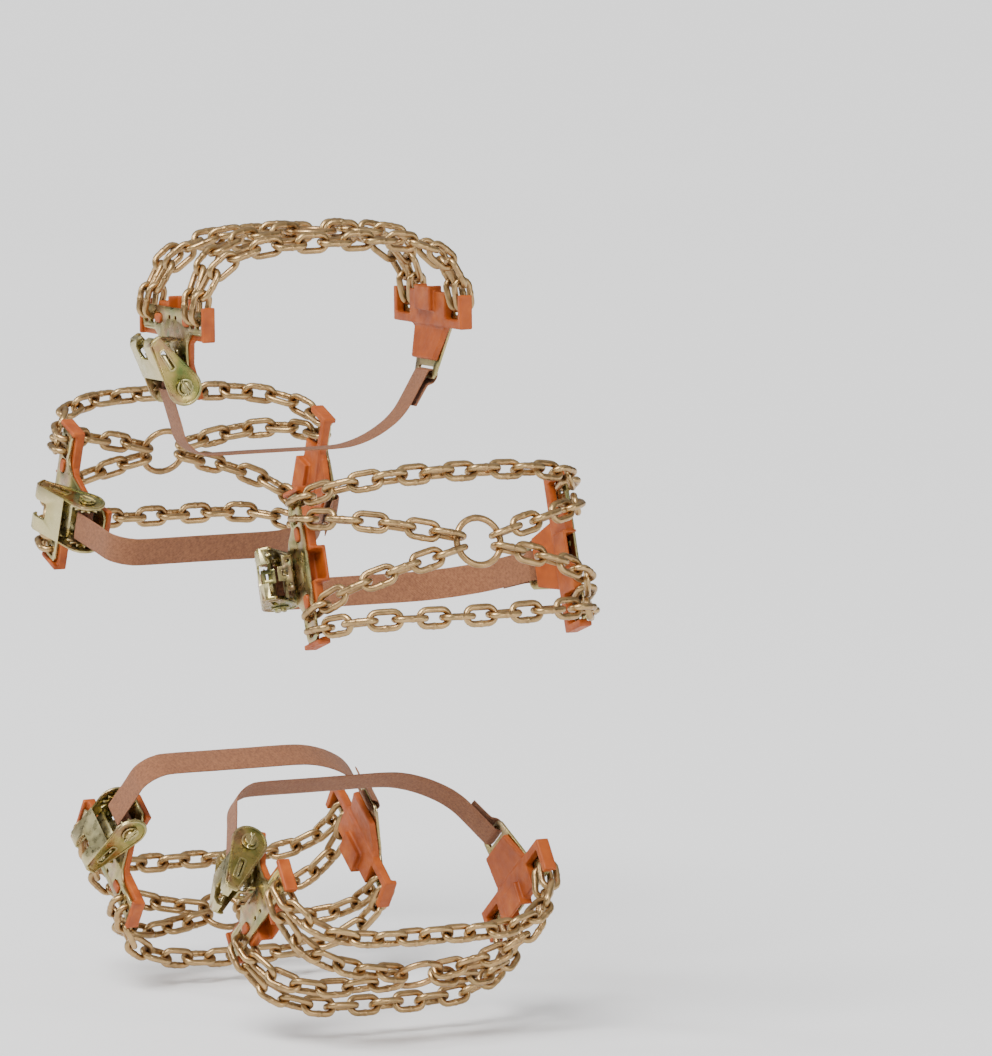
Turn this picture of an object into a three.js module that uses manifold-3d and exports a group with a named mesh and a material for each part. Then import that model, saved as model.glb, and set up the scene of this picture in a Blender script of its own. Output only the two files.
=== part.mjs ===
// Tire snow chains: five identical chain segments, spaced round one car wheel as hands leave them.
// Each segment is a closed loop round the tyre's section: an outer T-plate with a rubber pad and
// a small strap ratchet, two side chains and an X of four chain arms that meet at a ring on the
// tread, an inner T-plate with its pad, and a webbing strap back through the wheel to the ratchet.
//
// The set's origin is the wheel's centre. The axle is Y, the wheel's outer face looks to -Y,
// +Z is up. A segment is modelled in its own frame and turned about Y to its place:
// x away from the axle, y along the axle, z round the wheel. Millimetres.

import * as THREE from 'three';
import { mergeVertices } from 'three/addons/utils/BufferGeometryUtils.js';
import Module from 'manifold-3d';

const wasm = await Module();
wasm.setup();

// ---- Driving dimensions ----

const SEGMENT_ANGLES = [19, 91.5, 160, 235, 307]; // degrees, from +X towards +Z

// The chains' centreline round the tyre's section: a rounded box
const SIDEWALL_RADIUS = 262; // where the tyre is widest
const CROWN_RADIUS = 333;
const HALF_WIDTH = 123;
const SIDEWALL_POWER = 4;
const CROWN_POWER = 2.4;

const WIRE = 5.5; // chain wire diameter
const LINK_WIDTH = 19;
const SIDE_CHAIN_LINKS = 15;
const ARM_LINKS = 7;
const SIDE_CHAIN_HALF_GAP = 53; // side chain to the segment's middle, at the plates
const SIDE_CHAIN_BOW = 7; // how much further apart the side chains are on the tread
const ARM_HALF_GAP = 40.5; // chain arm to the segment's middle, at the plates
const RING_RADIUS = 19.5; // to the middle of its wire
const RING_Y = 5;
const RING_ARM_ANGLE = 17; // degrees, from the axle's direction to an arm on the ring

const GAP = 0.3; // between pieces that touch
const SHEET = 2.5; // plate thickness
const PLATE_FRONT = 122.4; // the plates' outer faces, from the wheel's middle plane
const PLATE_TOP = 274.5; // edge towards the tread
const PLATE_BOTTOM = 254;
const PLATE_HALF_LENGTH = 61;
const CHAIN_HOLE_TOP = 268;
const CHAIN_HOLE_HEIGHT = 8.5;
const CHAIN_HOLE_HALF_WIDTH = 4.1;
const BEND_POSITION = 246; // where the tongue bends towards the wheel
const OUTER_TONGUE_END = 197; // under the ratchet
const INNER_TONGUE_END = 204; // just past the strap slot
const TONGUE_ROOT_HALF_WIDTH = 28;
const OUTER_TONGUE_HALF_WIDTH = 14.6; // between the ratchet's toothed wheels
const OUTER_TONGUE_TAPER_END = 225;
const INNER_TONGUE_HALF_WIDTH = 20;
const TONGUE_LEAN = 15.5; // degrees

const PAD_THICKNESS = 7.2;
const TONGUE_PAD_THICKNESS = 5.5;
const PAD_TOP = 278;
const PAD_BOTTOM = 249;
const PAD_HALF_LENGTH = 65.5;
const LIP_DEPTH = 1.5; // how far the pad's end lips stand in front of the plate
const NOTCH_SIDE = 6.4; // pad notch past the middles of the pair of chains in it
const BOSS_HALF_GAP = 28;
const BOSS_POSITION = 264;
const BOSS_HALF_LENGTH = 6;
const BOSS_HALF_HEIGHT = 4;
const TAB_HALF_LENGTH = 15; // hollow tab at the middle of the pad's tread edge
const TAB_TOP = 283;
const TAB_FOOT = 262;
const TAB_DEPTH = 5; // behind the pad's back
const TAB_WALL = 2.5;

const STRAP_WIDTH = 25;
const STRAP_THICKNESS = 1.6;
const STRAP_LEAVE_ANGLE = 253; // degrees, where the strap leaves the roll
const STRAP_DEPTH = 150; // how near to the axle the strap runs

const SPINDLE_POSITION = [209, -121]; // x, y of the ratchet's spindle
const AXLE_RADIUS = 5;
const AXLE_HOLE_RADIUS = 5.8;
const AXLE_HALF_LENGTH = 25;
const ROLL_RADIUS = 7.9; // wound webbing
const TEETH = 12;
const TOOTH_TIP_RADIUS = 13;
const TOOTH_ROOT_RADIUS = 9.2;
const CHEEK = 1.8; // ratchet cheek thickness
const BASE_CHEEK_INSIDE = 13;
const BASE_ROUND = 10.6; // the base cheeks' end round the spindle
const BASE_END = 40;
const WHEEL_THICKNESS = 2.2;
const HANDLE_CHEEK_INSIDE = 19.2;
const HANDLE_ROUND = 15.5; // the handle cheeks' end round the spindle
const HANDLE_END = 50;
const HANDLE_LEAN = 18; // degrees, closed handle to the ratchet's base
const FINGER_NOTCH_HALF_WIDTH = 8;
const PAWL_END = 33.2;
const TAB_HALF_SIZE = 6; // square finger tabs of the pawl and the base
const TAB_HOLE_HALF_SIZE = 2.5;
const ROUND_SIDES = 8;

const degrees = THREE.MathUtils.degToRad;

// ---- Materials ----

const material = (color, metalness, roughness) =>
  new THREE.MeshStandardMaterial({ color, metalness, roughness });

const yellowZinc = material(0xb5a462, 0.9, 0.4);
const chainZinc = material(0xb8926a, 0.9, 0.42);
const padRubber = material(0xd9601c, 0, 0.65);
const webbing = material(0x9c5f42, 0, 0.85);

// ---- Solids ----

// A closed three.js geometry as a manifold solid, its shared vertices merged
function solid(geometry) {
  const bare = new THREE.BufferGeometry();
  bare.setAttribute('position', geometry.getAttribute('position'));
  bare.setIndex(geometry.getIndex());
  const merged = mergeVertices(bare, 1e-4);
  return new wasm.Manifold(new wasm.Mesh({
    numProp: 3,
    vertProperties: new Float32Array(merged.getAttribute('position').array),
    triVerts: new Uint32Array(merged.getIndex().array),
  }));
}

const join = (...solids) => solids.reduce((sum, next) => sum.add(next));
const cut = (body, ...tools) => tools.reduce((rest, tool) => rest.subtract(tool), body);

function mesh(name, body, surface) {
  const { vertProperties, triVerts } = body.getMesh();
  const geometry = new THREE.BufferGeometry();
  geometry.setAttribute('position', new THREE.BufferAttribute(vertProperties, 3));
  geometry.setIndex(new THREE.BufferAttribute(triVerts, 1));
  geometry.computeVertexNormals();
  const result = new THREE.Mesh(geometry, surface);
  result.name = name;
  return result;
}

const outline = (points) => new THREE.Shape(points.map(([u, v]) => new THREE.Vector2(u, v)));

// An outline in the x-y plane, extruded along z
function prism(points, zLow, zHigh) {
  const geometry = new THREE.ExtrudeGeometry(outline(points), { depth: zHigh - zLow, bevelEnabled: false });
  return solid(geometry.translate(0, 0, zLow));
}

// An outline in the x-z plane with holes, extruded along y
function sheet(points, holes, yLow, yHigh) {
  const shape = outline(points);
  shape.holes = holes.map(outline);
  const geometry = new THREE.ExtrudeGeometry(shape, { depth: yHigh - yLow, bevelEnabled: false });
  return solid(geometry.rotateX(Math.PI / 2).translate(0, yHigh, 0));
}

function box(xLow, xHigh, yLow, yHigh, zLow, zHigh) {
  return prism([[xLow, yLow], [xHigh, yLow], [xHigh, yHigh], [xLow, yHigh]], zLow, zHigh);
}

const arc = (radius, from, to, steps, u = 0, v = 0) =>
  Array.from({ length: steps + 1 }, (_, i) => {
    const angle = degrees(from + ((to - from) * i) / steps);
    return [u + radius * Math.cos(angle), v + radius * Math.sin(angle)];
  });

const disc = (radius, sides = ROUND_SIDES, u = 0, v = 0) =>
  arc(radius, 0, 360 - 360 / sides, sides - 1, u, v);

const rectangle = (uLow, uHigh, vLow, vHigh) =>
  [[uLow, vLow], [uHigh, vLow], [uHigh, vHigh], [uLow, vHigh]];

// ---- Chain runs ----

// Angle round the tyre's section, 0 on the outer sidewall and pi on the inner one
const sectionAngleAtRadius = (radius) =>
  Math.asin(((radius - SIDEWALL_RADIUS) / (CROWN_RADIUS - SIDEWALL_RADIUS)) ** (CROWN_POWER / 2));
const sectionAngleAtY = (y) =>
  Math.acos(-Math.sign(y) * (Math.abs(y) / HALF_WIDTH) ** (SIDEWALL_POWER / 2));

function sectionPoint(angle) {
  const c = Math.cos(angle);
  const s = Math.sin(angle);
  const radius = SIDEWALL_RADIUS + (CROWN_RADIUS - SIDEWALL_RADIUS) * s ** (2 / CROWN_POWER);
  const y = -HALF_WIDTH * Math.sign(c) * Math.abs(c) ** (2 / SIDEWALL_POWER);
  return new THREE.Vector3(radius, y, 0);
}

// A chain's centreline from one section angle to another; zAt gives its place round the wheel
function chainCurve(fromAngle, toAngle, zAt) {
  const steps = 40;
  const angles = Array.from({ length: steps + 1 }, (_, i) => fromAngle + ((toAngle - fromAngle) * i) / steps);
  const section = new THREE.CatmullRomCurve3(angles.map(sectionPoint));
  const points = Array.from({ length: steps + 1 }, (_, i) => {
    const { x, y } = section.getPointAt(i / steps);
    const z = zAt(i / steps);
    return new THREE.Vector3(Math.sqrt(x * x - z * z), y, z);
  });
  return new THREE.CatmullRomCurve3(points);
}

// Outward normal of the tyre's surface at a point whose chain runs along a direction
function surfaceNormal(point, along) {
  const radial = new THREE.Vector3(point.x, 0, point.z).normalize();
  const normal = radial.multiplyScalar(along.y);
  normal.y = -along.dot(new THREE.Vector3(point.x, 0, point.z).normalize());
  normal.addScaledVector(along, -normal.dot(along)).normalize();
  const fromCore = new THREE.Vector3(point.x - SIDEWALL_RADIUS, point.y, 0);
  return normal.dot(fromCore) < 0 ? normal.negate() : normal;
}

// Each link's ends, direction, outward normal and sideways direction
function linkFrames(curve, count) {
  const joints = Array.from({ length: count + 1 }, (_, i) => curve.getPointAt(i / count));
  return Array.from({ length: count }, (_, i) => {
    const along = joints[i + 1].clone().sub(joints[i]).normalize();
    const middle = joints[i].clone().lerp(joints[i + 1], 0.5);
    const normal = surfaceNormal(middle, along);
    const side = along.clone().cross(normal);
    return { start: joints[i], end: joints[i + 1], middle, along, normal, side, standing: i % 2 === 0 };
  });
}

// A link with its eye open, which a plate's chain hole threads
function openLink(frame) {
  const eye = frame.start.distanceTo(frame.end) / 2;
  const half = eye + WIRE;
  const wide = LINK_WIDTH / 2;
  const eyeHalfWidth = wide - WIRE;
  const endHalfWidth = eyeHalfWidth - 0.5;
  const shape = outline([
    [-half, -endHalfWidth], [-eye, -wide], [eye, -wide], [half, -endHalfWidth],
    [half, endHalfWidth], [eye, wide], [-eye, wide], [-half, endHalfWidth],
  ]);
  shape.holes = [outline(rectangle(-eye, eye, -eyeHalfWidth, eyeHalfWidth))];
  const geometry = new THREE.ExtrudeGeometry(shape, { depth: WIRE, bevelEnabled: false });
  geometry.translate(0, 0, -WIRE / 2);
  const wideWay = frame.standing ? frame.normal : frame.side;
  const thinWay = frame.along.clone().cross(wideWay);
  const place = new THREE.Matrix4().makeBasis(frame.along, wideWay, thinWay).setPosition(frame.middle);
  return solid(geometry.applyMatrix4(place));
}

// One closed skin over a row of rectangular sections
function loft(sections) {
  const corners = sections.flatMap(({ at, normal, side, high, wide }) =>
    [[1, 1], [-1, 1], [-1, -1], [1, -1]].map(([n, s]) =>
      at.clone().addScaledVector(normal, n * high).addScaledVector(side, s * wide)));
  const last = 4 * (sections.length - 1);
  const faces = [[0, 2, 1], [0, 3, 2], [last, last + 1, last + 2], [last, last + 2, last + 3]];
  for (let row = 0; row < last; row += 4) {
    for (let k = 0; k < 4; k += 1) {
      const next = (k + 1) % 4;
      faces.push([row + k, row + next, row + 4 + k], [row + next, row + 4 + next, row + 4 + k]);
    }
  }
  const geometry = new THREE.BufferGeometry().setFromPoints(corners);
  geometry.setIndex(faces.flat());
  return solid(geometry);
}

// Links between two open ones: plates with closed eyes that stand and lie by turns
function closedLinks(frames, firstReach, lastReach) {
  const thin = WIRE / 2;
  const wide = LINK_WIDTH / 2;
  const taper = WIRE * 0.8;
  const first = frames[0];
  const last = frames.at(-1);
  const neck = (frame, at) => ({ at, normal: frame.normal, side: frame.side, high: thin, wide: thin });
  const body = (frame, at) => ({
    ...neck(frame, at),
    high: frame.standing ? wide : thin,
    wide: frame.standing ? thin : wide,
  });
  const sections = [neck(first, first.start.clone().addScaledVector(first.along, -firstReach))];
  frames.forEach((frame) => {
    sections.push(body(frame, frame.start.clone().addScaledVector(frame.along, taper)));
    sections.push(body(frame, frame.end.clone().addScaledVector(frame.along, -taper)));
  });
  sections.push(neck(last, last.end.clone().addScaledVector(last.along, lastReach)));
  return loft(sections);
}

// Section angle at the top of a chain hole that lies off the segment's middle
const holeAngle = (z) => sectionAngleAtRadius(Math.hypot(CHAIN_HOLE_TOP - 3 * GAP, z));

function sideChain(direction) {
  const from = holeAngle(SIDE_CHAIN_HALF_GAP);
  const zAt = (t) => direction * (SIDE_CHAIN_HALF_GAP + SIDE_CHAIN_BOW * Math.sin(Math.PI * t));
  const frames = linkFrames(chainCurve(from, Math.PI - from, zAt), SIDE_CHAIN_LINKS);
  const inner = frames.slice(1, -1);
  return join(openLink(frames[0]), closedLinks(inner, WIRE / 2, WIRE / 2), openLink(frames.at(-1)));
}

// A chain arm from a plate to the ring; plateSide is -1 for the outer plate, 1 for the inner
function chainArm(plateSide, direction) {
  const reach = RING_RADIUS - WIRE / 2;
  const ringEndY = RING_Y + plateSide * reach * Math.cos(degrees(RING_ARM_ANGLE));
  const ringEndZ = direction * reach * Math.sin(degrees(RING_ARM_ANGLE));
  const hole = holeAngle(ARM_HALF_GAP);
  const from = plateSide < 0 ? hole : Math.PI - hole;
  const zAt = (t) => THREE.MathUtils.lerp(direction * ARM_HALF_GAP, ringEndZ, t);
  const frames = linkFrames(chainCurve(from, sectionAngleAtY(ringEndY), zAt), ARM_LINKS);
  return join(openLink(frames[0]), closedLinks(frames.slice(1), WIRE / 2, 1));
}

function crossChains() {
  const ring = new THREE.TorusGeometry(RING_RADIUS, WIRE / 2, 5, 14);
  ring.rotateY(Math.PI / 2).translate(CROWN_RADIUS, RING_Y, 0);
  const arms = [-1, 1].flatMap((plateSide) => [-1, 1].map((direction) => chainArm(plateSide, direction)));
  return join(solid(ring), ...arms);
}

// ---- Plates and pads, drawn for the outer side (-1) or mirrored to the inner side (1) ----

const holeCentres = [-SIDE_CHAIN_HALF_GAP, -ARM_HALF_GAP, ARM_HALF_GAP, SIDE_CHAIN_HALF_GAP];
const leanSlope = Math.tan(degrees(TONGUE_LEAN));
const leanStretch = 1 / Math.cos(degrees(TONGUE_LEAN));

// Distance of the tongue's outer face from the wheel's middle plane
const tongueFront = (x) => PLATE_FRONT - (BEND_POSITION - x) * leanSlope;

// A leaning, tapering slab under the crossbar, from one distance behind the tongue's face to another
function tongueSlab(side, end, near, far) {
  const overlap = 6;
  const bend = BEND_POSITION;
  const root = TONGUE_ROOT_HALF_WIDTH;
  const tip = side < 0 ? OUTER_TONGUE_HALF_WIDTH : INNER_TONGUE_HALF_WIDTH;
  const taperEnd = side < 0 ? OUTER_TONGUE_TAPER_END : end;
  const points = [
    [bend + overlap, PLATE_FRONT - near], [bend, PLATE_FRONT - near],
    [end, tongueFront(end) - near * leanStretch], [end, tongueFront(end) - far * leanStretch],
    [bend, PLATE_FRONT - far], [bend + overlap, PLATE_FRONT - far],
  ];
  const slab = prism(points.map(([x, y]) => [x, side * y]), -root, root);
  const half = [[end - 1, tip], [taperEnd, tip], [bend, root + 1], [bend + overlap + 1, root + 1]];
  const taper = sheet([...half, ...half.map(([x, z]) => [x, -z]).reverse()], [], -PLATE_FRONT - 1, PLATE_FRONT + 1);
  return slab.intersect(taper);
}

const between = (side, near, far) => (side < 0 ? [-PLATE_FRONT + near, -PLATE_FRONT + far]
  : [PLATE_FRONT - far, PLATE_FRONT - near]);

// A rounded boss or its hole, longer round the wheel than across
const bossOutline = (s, clearance) => disc(1, ROUND_SIDES, 0, 0).map(([u, v]) => [
  BOSS_POSITION + u * (BOSS_HALF_HEIGHT + clearance),
  s * BOSS_HALF_GAP + v * (BOSS_HALF_LENGTH + clearance),
]);

function plate(side) {
  const corner = 4;
  const shoulder = 8;
  const length = PLATE_HALF_LENGTH;
  const root = TONGUE_ROOT_HALF_WIDTH;
  const half = [
    [PLATE_TOP, length - corner], [PLATE_TOP - corner, length], [PLATE_BOTTOM + corner, length],
    [PLATE_BOTTOM, length - corner], [PLATE_BOTTOM, root + shoulder], [BEND_POSITION, root],
  ];
  const points = [...half, ...half.map(([x, z]) => [x, -z]).reverse()];
  const chainHoles = holeCentres.map((z) => rectangle(
    CHAIN_HOLE_TOP - CHAIN_HOLE_HEIGHT, CHAIN_HOLE_TOP, z - CHAIN_HOLE_HALF_WIDTH, z + CHAIN_HOLE_HALF_WIDTH));
  const bossHoles = [-1, 1].map((s) => bossOutline(s, 2 * GAP));
  const crossbar = sheet(points, [...chainHoles, ...bossHoles], ...between(side, 0, SHEET));
  if (side < 0) {
    return join(crossbar, tongueSlab(side, OUTER_TONGUE_END, 0, SHEET));
  }
  const slotHalf = STRAP_WIDTH / 2 + 1;
  const strapSlot = box(209, 214, 95, PLATE_FRONT, -slotHalf, slotHalf);
  return cut(join(crossbar, tongueSlab(side, INNER_TONGUE_END, 0, SHEET)), strapSlot);
}

function pad(side) {
  const near = SHEET + GAP;
  const far = near + PAD_THICKNESS;
  const end = PAD_HALF_LENGTH;
  const lipInside = PLATE_HALF_LENGTH + GAP;
  const notchFloor = CHAIN_HOLE_TOP - CHAIN_HOLE_HEIGHT - 3;
  const notch = [ARM_HALF_GAP - NOTCH_SIDE, SIDE_CHAIN_HALF_GAP + NOTCH_SIDE];
  const half = [
    [PAD_TOP, notch[0]], [notchFloor, notch[0]], [notchFloor, notch[1]], [PAD_TOP, notch[1]], [PAD_TOP, end],
    [PAD_BOTTOM, end], [PAD_BOTTOM, TONGUE_ROOT_HALF_WIDTH + 3], [BEND_POSITION, TONGUE_ROOT_HALF_WIDTH],
  ];
  const points = [...half, ...half.map(([x, z]) => [x, -z]).reverse()];
  const pocket = rectangle(TAB_FOOT + TAB_WALL, TAB_TOP + 1, -TAB_HALF_LENGTH + TAB_WALL, TAB_HALF_LENGTH - TAB_WALL);
  const crossbar = sheet(points, [], ...between(side, near, far));
  const tab = sheet(rectangle(TAB_FOOT, TAB_TOP, -TAB_HALF_LENGTH, TAB_HALF_LENGTH), [],
    ...between(side, near, far + TAB_DEPTH));
  const room = sheet(pocket, [], ...between(side, near - 1, far + TAB_DEPTH - TAB_WALL));
  const lips = [-1, 1].map((s) => sheet(
    rectangle(PAD_BOTTOM, PAD_TOP, s < 0 ? -end : lipInside, s < 0 ? -lipInside : end), [],
    ...between(side, -LIP_DEPTH, far)));
  const bosses = [-1, 1].map((s) => sheet(bossOutline(s, 0), [], ...between(side, -LIP_DEPTH, near + 1)));
  const tongue = tongueSlab(side, side < 0 ? OUTER_TONGUE_END - 1 : 219, near, near + TONGUE_PAD_THICKNESS);
  return join(cut(join(crossbar, tab), room), ...lips, ...bosses, tongue);
}

// ---- Strap: a ribbon in the x-y plane, from the roll to the inner plate's slot and back ----

function ribbon(points, thickness) {
  const path = points.map(([x, y]) => new THREE.Vector2(x, y));
  const edge = (distance) => path.map((point, i) => {
    const before = path[Math.max(i - 1, 0)];
    const after = path[Math.min(i + 1, path.length - 1)];
    const incoming = point.clone().sub(before).normalize();
    const outgoing = after.clone().sub(point).normalize();
    const along = incoming.add(outgoing).normalize();
    return [point.x - along.y * distance, point.y + along.x * distance];
  });
  const edges = [...edge(thickness / 2), ...edge(-thickness / 2).reverse()];
  return prism(edges, -STRAP_WIDTH / 2, STRAP_WIDTH / 2);
}

function strap() {
  const leave = ROLL_RADIUS + GAP + STRAP_THICKNESS / 2;
  const leaveAngle = degrees(STRAP_LEAVE_ANGLE);
  const rollSide = [
    SPINDLE_POSITION[0] + leave * Math.cos(leaveAngle), SPINDLE_POSITION[1] + leave * Math.sin(leaveAngle),
  ];
  const run = 44;
  const points = [
    rollSide, [rollSide[0] + run * Math.sin(leaveAngle), rollSide[1] - run * Math.cos(leaveAngle)],
    [156.5, -110], [152, -102], [STRAP_DEPTH, -91],
    [STRAP_DEPTH, 22], [152, 40], [158, 58], [167, 74], [176, 84.5], [186, 92], [208, 105.4],
    [211.2, 108.2], [211.6, 112.5], [209, 115.6], [205, 115], [201, 112], [199.6, 108.6],
    [197.5, 105.6], [182, 95.6],
  ];
  return ribbon(points, STRAP_THICKNESS);
}

// ---- Ratchet, in its own frame: origin on the spindle, x along the tongue, -y outwards ----

const plateFaceBelow = (() => {
  const [x, y] = SPINDLE_POSITION;
  return (-y - tongueFront(x)) / leanStretch;
})();

function pairAt(inside, thickness, points) {
  return join(prism(points, inside, inside + thickness), prism(points, -inside - thickness, -inside));
}

const axleHole = (halfLength) => prism(disc(AXLE_HOLE_RADIUS), -halfLength, halfLength);

// A square tab with a square hole, standing across the ratchet's length
function squareTab(uLow, uHigh, vLow) {
  const half = TAB_HALF_SIZE;
  const hole = TAB_HOLE_HALF_SIZE;
  const middle = vLow + half;
  return cut(
    box(uLow, uHigh, vLow, vLow + 2 * half, -half, half),
    box(uLow - 1, uHigh + 1, middle - hole, middle + hole, -hole, hole),
  );
}

function ratchetBase() {
  const floorLow = plateFaceBelow - GAP;
  const floorHigh = floorLow - CHEEK;
  const end = BASE_END;
  const roundFrom = 180 - THREE.MathUtils.radToDeg(Math.asin(floorLow / BASE_ROUND));
  // the sloping upper edge stays clear of the closed pawl
  const cheek = [
    ...arc(BASE_ROUND, roundFrom, 345, 8), [10.8, -0.8], [12.5, -1.2], [end - 6, -8.4], [end, -4],
    [end, floorLow - 3], [end - 3, floorLow],
  ];
  const outside = BASE_CHEEK_INSIDE + CHEEK;
  const floor = box(8, end - 5, floorHigh, floorLow, -outside, outside);
  const wall = box(end - CHEEK, end, floorLow - 7, floorLow - 3, -outside, outside);
  const tab = squareTab(end - CHEEK, end, floorLow - 1 - 2 * TAB_HALF_SIZE);
  return cut(join(pairAt(BASE_CHEEK_INSIDE, CHEEK, cheek), floor, wall, tab), axleHole(outside + 1));
}

// The handle, the pawl and the spindle are drawn with x along the handle

// Two teardrop cheeks and the sheet across their backs, notched for a finger on the pawl's tab
function ratchetHandle() {
  const end = HANDLE_END;
  const cheek = [
    ...arc(HANDLE_ROUND, 75, 285, 8), [end - 4.5, -7.5], [end, -3.5], [end, 4.5], [end - 3, 7],
  ];
  const outside = HANDLE_CHEEK_INSIDE + CHEEK;
  const back = prism([
    [16, -12.8], [end - 4.5, -7.5], [end, -3.5], [end, 1], [end - CHEEK, 1], [end - CHEEK, -2.7],
    [end - 5.2, -5.7], [16, -10.9],
  ], -outside, outside);
  const notch = box(34, end + 1, -14, 2, -FINGER_NOTCH_HALF_WIDTH, FINGER_NOTCH_HALF_WIDTH);
  return cut(join(pairAt(HANDLE_CHEEK_INSIDE, CHEEK, cheek), cut(back, notch)), axleHole(outside + 1));
}

function drivePawl() {
  const halfThick = 1.2;
  const halfSpan = HANDLE_CHEEK_INSIDE - GAP;
  const tip = TOOTH_TIP_RADIUS + 2 * GAP;
  const blade = box(tip, PAWL_END - 1, -halfThick, halfThick, -halfSpan, halfSpan);
  return join(blade, squareTab(PAWL_END - CHEEK, PAWL_END, -6 * halfThick));
}

function spindle() {
  const pitch = 360 / TEETH;
  const toothed = Array.from({ length: TEETH }, (_, i) => [
    ...arc(TOOTH_ROOT_RADIUS, i * pitch, i * pitch, 1).slice(1),
    ...arc(TOOTH_TIP_RADIUS, (i + 0.5) * pitch, (i + 0.5) * pitch, 1).slice(1),
  ]).flat();
  const wheels = pairAt(BASE_CHEEK_INSIDE + CHEEK + GAP, WHEEL_THICKNESS, toothed);
  const axle = prism(disc(AXLE_RADIUS), -AXLE_HALF_LENGTH, AXLE_HALF_LENGTH);
  const roll = prism(disc(ROLL_RADIUS), -STRAP_WIDTH / 2, STRAP_WIDTH / 2);
  return join(axle, roll, wheels);
}

// ---- One segment ----

// Solids that every segment shares
const shapes = {
  facePlate: plate(-1),
  facePad: pad(-1),
  innerPlate: plate(1),
  innerPad: pad(1),
  leadChain: sideChain(1),
  trailChain: sideChain(-1),
  crossChains: crossChains(),
  strap: strap(),
  base: ratchetBase(),
  handle: ratchetHandle(),
  pawl: drivePawl(),
  spindle: spindle(),
};

function segment(number, angle) {
  const handleFrame = new THREE.Group();
  handleFrame.rotation.z = -degrees(HANDLE_LEAN);
  handleFrame.add(
    mesh(`ratchet_handle_${number}`, shapes.handle, yellowZinc),
    mesh(`drive_pawl_${number}`, shapes.pawl, yellowZinc),
    mesh(`ratchet_spindle_${number}`, shapes.spindle, yellowZinc),
  );
  const ratchet = new THREE.Group();
  ratchet.position.set(...SPINDLE_POSITION, 0);
  ratchet.rotation.z = -degrees(TONGUE_LEAN);
  ratchet.add(mesh(`ratchet_base_${number}`, shapes.base, yellowZinc), handleFrame);

  const whole = new THREE.Group();
  whole.add(
    mesh(`face_plate_${number}`, shapes.facePlate, yellowZinc),
    mesh(`face_pad_${number}`, shapes.facePad, padRubber),
    mesh(`inner_plate_${number}`, shapes.innerPlate, yellowZinc),
    mesh(`inner_pad_${number}`, shapes.innerPad, padRubber),
    mesh(`side_chain_lead_${number}`, shapes.leadChain, chainZinc),
    mesh(`side_chain_trail_${number}`, shapes.trailChain, chainZinc),
    mesh(`cross_chains_${number}`, shapes.crossChains, chainZinc),
    mesh(`strap_${number}`, shapes.strap, webbing),
    ratchet,
  );
  whole.rotation.y = -degrees(angle);
  return whole;
}

const snowChains = new THREE.Group();
SEGMENT_ANGLES.forEach((angle, index) => snowChains.add(segment(index + 1, angle)));

export default snowChains;
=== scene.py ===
"""Looks of the tire snow chains: five chain segments round one wheel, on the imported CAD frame.

Lengths are millimetres inside the builders and metres in Blender. Each piece is made once in its
segment's frame (x away from the axle, y along it, z round the wheel) and placed five times.
"""

import math
import random

import bmesh
import bpy
from mathutils import Matrix, Vector


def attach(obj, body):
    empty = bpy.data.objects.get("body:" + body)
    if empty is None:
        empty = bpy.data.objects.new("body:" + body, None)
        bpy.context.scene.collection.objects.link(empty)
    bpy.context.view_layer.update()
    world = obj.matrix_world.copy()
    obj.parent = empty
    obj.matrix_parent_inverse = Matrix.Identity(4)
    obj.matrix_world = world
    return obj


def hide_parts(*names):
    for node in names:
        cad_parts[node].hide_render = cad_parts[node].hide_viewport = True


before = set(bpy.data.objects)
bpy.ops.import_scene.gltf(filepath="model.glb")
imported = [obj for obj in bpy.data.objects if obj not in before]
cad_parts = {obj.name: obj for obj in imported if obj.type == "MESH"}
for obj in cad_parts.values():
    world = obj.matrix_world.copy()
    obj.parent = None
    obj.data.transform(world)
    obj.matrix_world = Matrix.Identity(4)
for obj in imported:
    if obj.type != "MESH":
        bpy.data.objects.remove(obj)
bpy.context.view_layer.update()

MM = 0.001
SEGMENT_ANGLES = (19, 91.5, 160, 235, 307)

# Chain centreline round the tyre's section
SIDEWALL_RADIUS = 262
CROWN_RADIUS = 333
HALF_WIDTH = 123
SIDEWALL_POWER = 4
CROWN_POWER = 2.4

WIRE = 5.5
LINK_WIDTH = 19
SIDE_CHAIN_LINKS = 15
ARM_LINKS = 7
SIDE_CHAIN_HALF_GAP = 53
SIDE_CHAIN_BOW = 7
ARM_HALF_GAP = 40.5
RING_RADIUS = 19.5
RING_Y = 5
RING_ARM_ANGLE = 17

# Plates
GAP = 0.3
SHEET = 2.5
PLATE_FRONT = 122.4
PLATE_TOP = 274.5
PLATE_BOTTOM = 254
PLATE_HALF_LENGTH = 61
CHAIN_HOLE_TOP = 268
CHAIN_HOLE_HEIGHT = 8.5
CHAIN_HOLE_HALF_WIDTH = 4.1
BEND = 246
BEND_RADIUS = 5
OUTER_TONGUE_END = 197
INNER_TONGUE_END = 204
TONGUE_ROOT_HALF_WIDTH = 28
OUTER_TONGUE_HALF_WIDTH = 14.6
OUTER_TONGUE_TAPER_END = 225
INNER_TONGUE_HALF_WIDTH = 20
TONGUE_LEAN = math.radians(15.5)

# Pads
PAD_THICKNESS = 7.2
TONGUE_PAD_THICKNESS = 5.5
PAD_TOP = 278
PAD_BOTTOM = 249
PAD_HALF_LENGTH = 65.5
LIP_DEPTH = 1.5
NOTCH_SIDE = 6.4
BOSS_HALF_GAP = 28
BOSS_POSITION = 264
BOSS_HALF_LENGTH = 6
BOSS_HALF_HEIGHT = 4
TAB_HALF_LENGTH = 15
TAB_TOP = 283
TAB_FOOT = 262
TAB_DEPTH = 5
TAB_WALL = 2.5

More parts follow.
